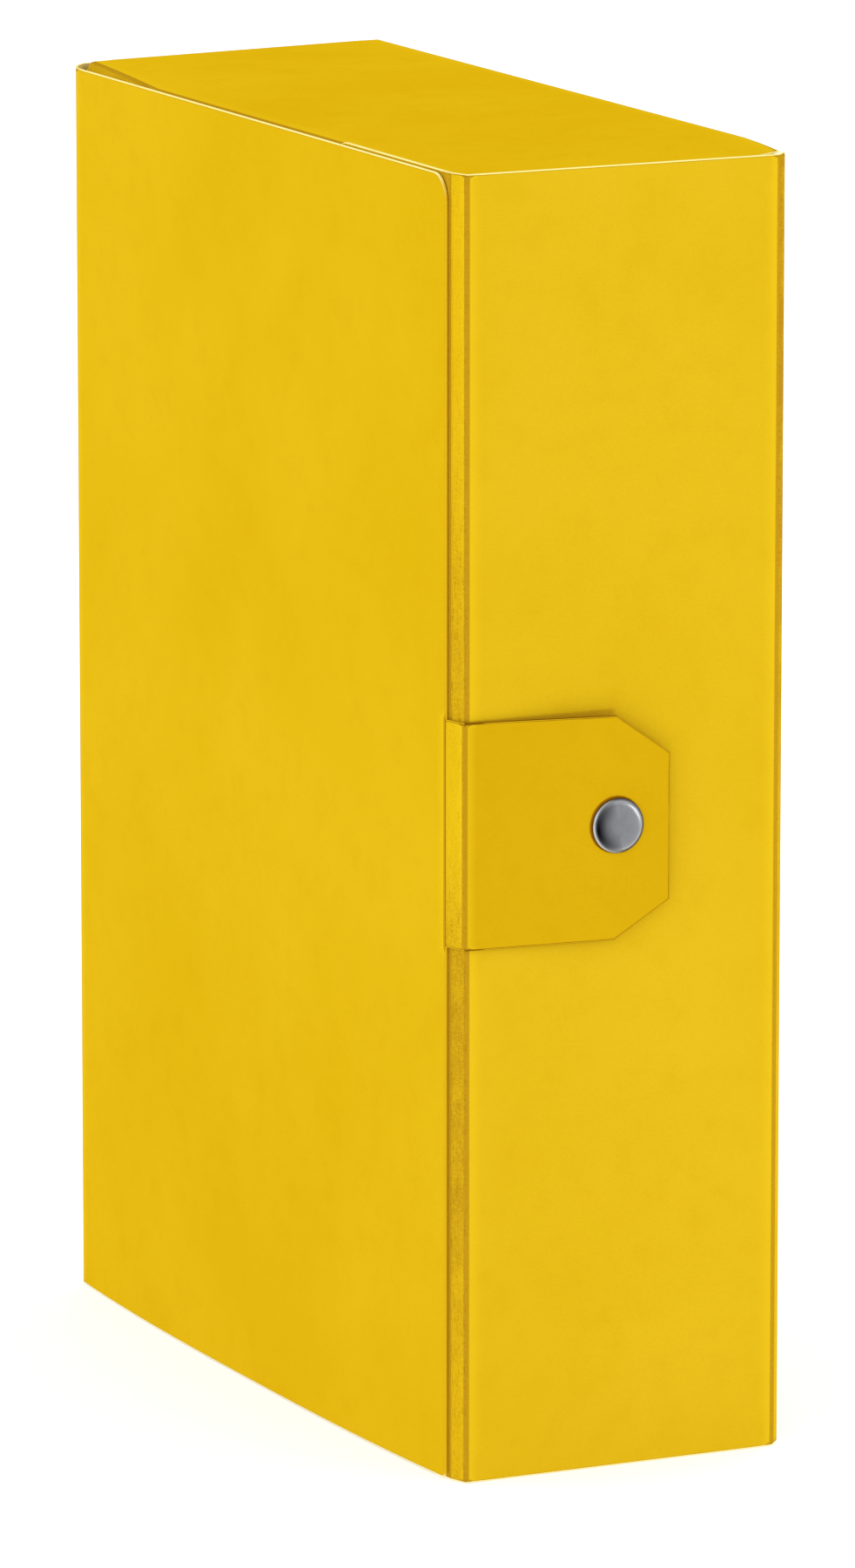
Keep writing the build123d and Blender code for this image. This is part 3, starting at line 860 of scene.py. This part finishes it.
def make_fore_edge():
    near = FORE_FLANGE_X + FLANGE_LEG_X
    far = BACK - FORE_LEG_X
    flange_y = FORE + FLANGE_LEG_Y
    whole = ((-HEIGHT, 0), (-HEIGHT, 0))
    back_turn = turn_between((0, -1), (-FORE_LEG_X, -FORE_LEG_Y))
    band("back_fore_edge_crease", ("back", "fore_edge"), (BACK, FORE + FORE_LEG_Y, 0),
         (far, FORE, 0), DOWN, whole, (back_turn, 90 - back_turn), browned=far_corner_browning)
    flange_turn = turn_between((-1, 0), (-FLANGE_LEG_X, FLANGE_LEG_Y))
    band("fore_edge_flange_crease", ("fore_edge", "fore_flange"), (near, FORE, 0),
         (FORE_FLANGE_X, flange_y, 0), DOWN, whole, (flange_turn, 90 - flange_turn),
         outer=CREASED_YELLOW, browned=near_corner_browning, clean=(1,))
    corners = [(near, 0), (far, 0), (far, HEIGHT), (near, HEIGHT)]
    turns = [None, 90 - back_turn, None, flange_turn]
    panel("fore_edge_wall", "fore_edge", place((0, FORE, 0), (1, 0, 0), UP), corners, turns,
          outer=WALL_YELLOW, form=dished(11.0, 0.35, 44.0),
          holes=[((STUD_FOOT.x, STUD_Z), POST_HOLE)])
    tip, root, slant = -FORE_FLANGE_TIP_Y, -flange_y, FLANGE_SLANT
    shoulder = tip + slant * 0.7
    high = rounded((root, HEIGHT), (shoulder, HEIGHT), (tip, HEIGHT - slant), FLANGE_RADIUS)
    low = rounded((tip, slant), (shoulder, 0), (root, 0), FLANGE_RADIUS)
    corners = low + [(root, 0), (root, HEIGHT)] + high + [(tip, HEIGHT - slant), (tip, slant)]
    turns = [None] * len(corners)
    turns[len(low)] = 90 - flange_turn
    panel("fore_edge_flange", "fore_flange", place((FORE_FLANGE_X, 0, 0), (0, -1, 0), UP),
          corners, turns, browned=flange_painted_shade)


CURL_START = 72.0        # from here to the spine the top wall's front fold draws back and rises
FOLD_X = FRONT + 2.8     # the top wall's front fold along the rest of its length
FOLD_DROP = 1.1          # how far it droops there, behind the cover's edge
FOLD_CURVE = 12.0
CURL_BACK = 3.3
CURL_RISE = 0.6
FLANGE_TOP_Z = 346.85
TUCK_START = -103.0      # from here to the fore-edge the top wall bends down
TUCK_CURVE = 1.7
TUCK_Z = 349.7
TUCK_BACK_RISE = 1.3     # it stays this much higher at its back corner
TUCK_BACK_REACH = 2.5    # and falls off from there over about this distance
TOP_CHAMFER = (6.0, 2.5) # the top wall's cut-off front corner beside the fore-edge
CORNER_END = 120.8       # the flange's crease fills the corner beside the spine up to here


def curl(y):
    """0 along most of the top wall's front fold, rising to 1 at its spine end."""
    return min(max((y - CURL_START) / (PANEL_END - CURL_START), 0.0), 1.0)


def make_top():
    """The top wall, its flange behind the cover and the bands between."""
    back = Vector((BACK, 0, TOP_BACK_Z - END_LEG))
    wall_back = Vector((BACK - END_LEG, 0, TOP_BACK_Z))
    wall_front = Vector((FOLD_X, 0, TOP_FRONT_Z))
    width = (wall_front - wall_back).length

    def wall_form(y, v):
        level = TOP_BACK_Z + (TOP_FRONT_Z - TOP_BACK_Z) * v / width
        droop = -FOLD_DROP * (1 - curl(y)) * max((v - width) / FOLD_CURVE + 1, 0.0) ** 2
        rise = CURL_RISE * curl(y) * v / width
        tuck = max((TUCK_START - y) / (PANEL_END + TUCK_START), 0.0) ** TUCK_CURVE
        back_rise = TUCK_BACK_RISE * exp(-v / TUCK_BACK_REACH)
        end = TUCK_Z + back_rise - FOLD_DROP * (v / width) ** 8
        return (droop + rise) * (1 - tuck) + (end - level) * tuck

    corners = [
        (-RELIEF_START, 0), (RELIEF_START, 0),
        (PANEL_END, TOP_RELIEF_X), (PANEL_END, width - CURL_BACK),
        (CURL_START, width), (TOP_CHAMFER[0] - PANEL_END, width),
        (-PANEL_END, width - TOP_CHAMFER[1]), (-PANEL_END, TOP_RELIEF_X),
    ]
    turns = [45, None, None, 60, 60, None, None, None]
    panel("top_wall", "top", place(wall_back, (0, 1, 0), wall_front - wall_back), corners, turns,
          outer=LID_YELLOW, form=wall_form)
    band("back_top_crease", ("back", "top"), back, wall_back, (0, -1, 0),
         ((-RELIEF_START, RELIEF_START),) * 2, (45, 45))
    fold = wall_front - Vector((0, 0, FOLD_DROP))
    flange = Vector((END_FLANGE_X, 0, FLANGE_TOP_Z))
    make_end_flange(1, "top", flange)
    chord = flange - fold
    along = chord.normalized()
    outward = Vector((along.z, 0, -along.x))
    curled = Vector((CURL_BACK, 0, FOLD_DROP + CURL_RISE))
    out, drop = curled.dot(along), curled.dot(outward)

    def band_form(u, v):
        amount = curl(-v)
        return drop * amount * (chord.length - u) / (chord.length - out * amount)

    corners = [
        (out, -PANEL_END), (chord.length, -CORNER_END), (chord.length, FLANGE_END),
        (0, PANEL_END - TOP_CHAMFER[0]), (0, -CURL_START),
    ]
    # the whole band is browned evenly as painted shade, for the wedge seen behind the cover's top edge
    mesh = Board(corners, [None, 20, None, 50, 50], form=band_form, narrow=True,
                 browned=lambda u, v: 0.4, short_folds=True).mesh
    blended(mesh, place(fold, chord, (0, -1, 0)), "top_flange_crease",
            LID_YELLOW)


def make_bottom():
    """The bottom wall, flat, with its flange behind the cover."""
    back = Vector((BACK, 0, END_LEG))
    wall_back = Vector((BACK - END_LEG, 0, 0))
    wall_front = Vector((END_FLANGE_X + END_FLANGE_LEG, 0, 0))
    flange = Vector((END_FLANGE_X, 0, END_FLANGE_LEG))
    width = (wall_front - wall_back).length
    corners = [
        (-RELIEF_START, 0), (RELIEF_START, 0), (PANEL_END, RELIEF_X), (PANEL_END, width),
        (-PANEL_END, width), (-PANEL_END, RELIEF_X),
    ]
    panel("bottom_wall", "bottom", place(wall_back, (0, -1, 0), wall_front - wall_back), corners,
          [45, None, None, 45, None, None])
    band("back_bottom_crease", ("back", "bottom"), back, wall_back, (0, 1, 0),
         ((-RELIEF_START, RELIEF_START),) * 2, (45, 45))
    chord = flange - wall_front
    corners = [(0, -PANEL_END), (chord.length, -FLANGE_END), (chord.length, FLANGE_END),
               (0, PANEL_END)]
    mesh = Board(corners, [None, 45] * 2, narrow=True).mesh
    blended(mesh, place(wall_front, chord, (0, 1, 0)), "bottom_flange_crease")
    make_end_flange(-1, "bottom", flange)


def make_end_flange(side, prefix, fold):
    """The flange of the top (side 1) or bottom (side -1) wall, from its fold to its tip."""
    cad = box(prefix + "_flange")
    tip = cad.low_z if side > 0 else cad.high_z
    length = abs(fold.z - tip)
    shoulder = FLANGE_END - FLANGE_SLANT
    corners = [(0, -shoulder), (length, -FLANGE_END), (length, FLANGE_END), (0, shoulder)]
    where = place((fold.x, 0, tip), (0, 0, side), (0, side, 0))
    panel(prefix + "_flange", prefix + "_flange_body", where, corners, [None, 30, None, None],
          narrow=True)


# ---- press stud ----
CAP_SHADED_SIDE = radians(190)     # the side of the cap where its shade is painted dark


def lathe(name, node, body, where, profile, material, segments=96):
    """A closed ring or disc turned from an outline of (radius, height, darkness) points: oxide in
    hollows, and on the cap painted shade.

    A fourth value is the darkness on the cap's left, where painted shade and a painted highlight stand in
    for reflections.
    """
    mesh = bmesh.new()
    share = mesh.verts.layers.float.new("radius_share")
    patina_and_shade = mesh.verts.layers.float.new("patina_and_shade")
    largest = max(point[0] for point in profile)
    rings = []
    for radius, height, shade, *shaded_side_value in profile:
        count = segments if radius > 0 else 1
        ring = []
        for k in range(count):
            angle = 2 * pi * k / segments
            vertex = mesh.verts.new((radius * cos(angle), radius * sin(angle), height))
            vertex[share] = radius / largest
            side = max(cos(angle - CAP_SHADED_SIDE), 0.0) ** 0.6
            vertex[patina_and_shade] = shade + (shaded_side_value[0] - shade) * side if shaded_side_value else shade
            ring.append(vertex)
        rings.append(ring)
    closed = profile[0][0] > 0
    followers = rings[1:] + rings[:1] if closed else rings[1:]
    for ring, other in zip(rings, followers):
        for k in range(segments):
            m = (k + 1) % segments
            corners = [ring[k % len(ring)], ring[m % len(ring)],
                       other[m % len(other)], other[k % len(other)]]
            corners = list(dict.fromkeys(corners))     # a point on the axis counts once
            if len(corners) > 2:
                mesh.faces.new(corners)
    bmesh.ops.recalc_face_normals(mesh, faces=mesh.faces)
    attach(shown(name, mesh, (material,), where), node, body)


def arc(centre, radius, start, end, steps, *shades):
    """Profile points on an arc, with the same shades at each and the angles in degrees."""
    points = []
    for k in range(steps + 1):
        angle = radians(start + (end - start) * k / steps)
        points.append((centre[0] + radius * cos(angle), centre[1] + radius * sin(angle), *shades))
    return points


def make_cap(on_tab):
    """The cap's domed face, its rolled rim and the barrel behind it."""
    # The shades here are painted light: the face darker to the left, and a dark crescent and a bright rim
    # highlight on the left in place of reflections.
    cap = [(0, 1.25, 0.64), (2.0, 1.25, 0.64, 0.68), (3.6, 1.245, 0.63, 0.80), (4.8, 1.23, 0.61, 0.92)]
    cap += [(5.4, 1.2, 0.60, 0.97), (5.9, 1.13, 0.52, 1.0), (6.3, 1.02, 0.38, 1.0)]
    cap += [(6.6, 0.88, 0.36, 0.96), (6.85, 0.7, 0.55, 0.55), (7.05, 0.5, 0.80, 0.05)]
    cap += arc((7.1, 0.28), 0.28, 60, 30, 3, 0.9, 0.2) + arc((7.1, 0.28), 0.28, 15, -70, 8, 0.98)
    cap += [(6.7, 0.0, 1.0), (6.6, 0.3, 1.0), (2.95, 0.35, 1.0), (2.9, BARREL_END, 0.2)]
    cap += [(2.5, BARREL_END, 0.2), (2.45, 0.5, 0.5), (0, 0.55, 0.5)]
    lathe("snap_cap_shell", "snap_cap", "tab", on_tab, cap, DARK_NICKEL)


def make_socket(on_tab):
    """A dished ring with a lip, held by the cap's barrel, that grips the stud with a spring made on its
    own.
    """
    ring = [(2.12, 0.28, 0.6), (2.12, SOCKET_LOW + 0.12, 0.4), (2.2, SOCKET_LOW + 0.03, 0.1)]
    ring += [(2.35, SOCKET_LOW, 0.0), (3.4, SOCKET_LOW, 0.0), (3.6, SOCKET_LOW + 0.05, 0.8)]
    ring += [(4.0, SOCKET_LOW + 0.05, 0.8), (4.2, SOCKET_LOW, 0.0), (5.2, SOCKET_LOW, 0.0)]
    ring += [(5.42, SOCKET_LOW + 0.08, 0.1), (5.5, SOCKET_LOW + 0.25, 0.3), (5.5, -BOARD, 0.8)]
    ring += [(5.1, -BOARD, 0.9), (5.05, BARREL_END, 1.0), (2.45, BARREL_END, 1.0), (2.42, 0.28, 0.8)]
    lathe("snap_socket_ring", "snap_socket", "tab", on_tab, ring, NICKEL)


def make_spring(on_tab):
    """A split ring of round wire round the stud's neck."""
    mesh = bmesh.new()
    share = mesh.verts.layers.float.new("radius_share")
    mesh.verts.layers.float.new("patina_and_shade")
    gap, steps, sides = 0.25, 72, 16
    loops = []
    for k in range(steps + 1):
        angle = gap + (2 * pi - 2 * gap) * k / steps
        loop = []
        for m in range(sides):
            turn = 2 * pi * m / sides
            radius = SPRING_RADIUS + SPRING_WIRE * cos(turn)
            height = SPRING_HEIGHT + SPRING_WIRE * sin(turn)
            vertex = mesh.verts.new((radius * cos(angle), radius * sin(angle), height))
            vertex[share] = k / steps
            loop.append(vertex)
        loops.append(loop)
    for loop, other in zip(loops, loops[1:]):
        for m in range(sides):
            mesh.faces.new((loop[m], loop[(m + 1) % sides], other[(m + 1) % sides], other[m]))
    mesh.faces.new(loops[0])
    mesh.faces.new(loops[-1])
    bmesh.ops.recalc_face_normals(mesh, faces=mesh.faces)
    obj = shown("snap_spring_wire", mesh, (SPRING_STEEL,), on_tab)
    attach(obj, "snap_spring", "tab")


def make_stud_and_post():
    on_wall = place((STUD_FOOT.x, FORE, STUD_Z), (1, 0, 0), UP)
    bore = 0.93
    stud = [(bore, 0.0, 0.5), (4.05, 0.0, 0.8), (4.2, 0.1, 0.3), (4.2, 0.26, 0.0), (4.1, 0.35, 0.0)]
    stud += [(2.0, 0.35, 0.1), (1.55, 0.42, 0.8), (1.4, 0.6, 0.7), (1.4, 1.8, 0.4), (1.5, 1.92, 0.2)]
    stud += [(1.72, 2.02, 0.0), (1.85, 2.16, 0.0), (1.85, 2.44, 0.0), (1.72, 2.66, 0.0)]
    stud += [(1.45, 2.82, 0.0), (1.2, 2.85, 0.1), (bore + 0.1, 2.8, 0.5), (bore, 2.7, 0.8)]
    lathe("snap_stud_body", "snap_stud", "fore_edge", on_wall, stud, NICKEL)
    foot = -BOARD
    post = [(0, 1.22, 0.2), (0.55, 1.2, 0.1), (0.82, 1.1, 0.0), (0.9, 0.95, 0.3), (0.9, foot, 0.7)]
    post += [(4.42, foot, 0.8), (4.5, foot - 0.08, 0.2), (4.48, foot - 0.24, 0.0)]
    post += [(4.3, foot - 0.4, 0.0), (3.9, foot - 0.48, 0.0), (1.2, foot - 0.5, 0.0)]
    post += [(0.7, foot - 0.46, 0.6), (0, foot - 0.44, 0.8)]
    lathe("snap_post_rivet", "snap_post", "fore_edge", on_wall, post, NICKEL)


def make_stud():
    on_tab = TAB_PLACE @ Matrix.Translation((STUD_ALONG_TAB, STUD_Z, 0))
    make_cap(on_tab)
    make_socket(on_tab)
    make_spring(on_tab)
    make_stud_and_post()


make_spine_side()
make_back_cover()
make_front_cover()
make_tab()
make_fore_edge()
make_top()
make_bottom()
make_stud()


# ---- studio ----
VIEW_AZIMUTH = radians(-25.48)
VIEW_ELEVATION = radians(11.24)
VIEW_DISTANCE = 2.910
VIEW_TARGET = (0.0, 0.0, 0.175)
VIEW_RIGHT = 0.00223
VIEW_UP = -0.01192
LENS = 243.5
FLOOR_Z = -0.0003
FLOOR_SIZE = 40


def make_camera():
    level = cos(VIEW_ELEVATION)
    back = Vector((sin(VIEW_AZIMUTH) * level, -cos(VIEW_AZIMUTH) * level, sin(VIEW_ELEVATION)))
    right = Vector((cos(VIEW_AZIMUTH), sin(VIEW_AZIMUTH), 0))
    up = back.cross(right)
    data = bpy.data.cameras.new("camera")
    data.lens = LENS
    data.sensor_width = 36
    data.clip_end = 100
    camera = bpy.data.objects.new("camera", data)
    camera.matrix_world = Matrix((right, up, back)).transposed().to_4x4()
    camera.location = Vector(VIEW_TARGET) + back * VIEW_DISTANCE + right * VIEW_RIGHT + up * VIEW_UP
    bpy.context.scene.collection.objects.link(camera)
    bpy.context.scene.camera = camera


def make_floor():
    mesh = bmesh.new()
    bmesh.ops.create_grid(mesh, x_segments=8, y_segments=8, size=FLOOR_SIZE)
    data = bpy.data.meshes.new("floor")
    mesh.to_mesh(data)
    mesh.free()
    floor = bpy.data.objects.new("floor", data)
    data.materials.append(Nodes("pale_floor").finish(
        Base_Color=(0.8, 0.8, 0.8, 1), Roughness=0.9, Specular_IOR_Level=0.05,
        Emission_Color=(1, 1, 1, 1), Emission_Strength=0.45,
    ))
    floor.location.z = FLOOR_Z
    bpy.context.scene.collection.objects.link(floor)


def make_softbox(name, location, aim, size, power):
    data = bpy.data.lights.new(name, "AREA")
    data.shape = "RECTANGLE"
    data.size, data.size_y = size
    data.energy = power
    light = bpy.data.objects.new(name, data)
    light.location = location
    light.rotation_euler = (Vector(aim) - Vector(location)).to_track_quat("-Z", "Y").to_euler()
    bpy.context.scene.collection.objects.link(light)


def make_light():
    world = bpy.data.worlds.new("studio")
    bpy.context.scene.world = world
    world.use_nodes = True
    background = world.node_tree.nodes["Background"]
    background.inputs["Color"].default_value = (1, 1, 1, 1)
    background.inputs["Strength"].default_value = 1.0
    make_softbox("left_softbox", (-2.4, -0.9, 1.2), (0, 0, 0.2), (1.2, 1.2), 5)
    make_softbox("right_softbox", (1.5, -1.6, 0.35), (0, 0, 0.2), (0.7, 0.7), 5)


make_camera()
make_floor()
make_light()
bpy.context.scene.view_settings.view_transform = "Standard"
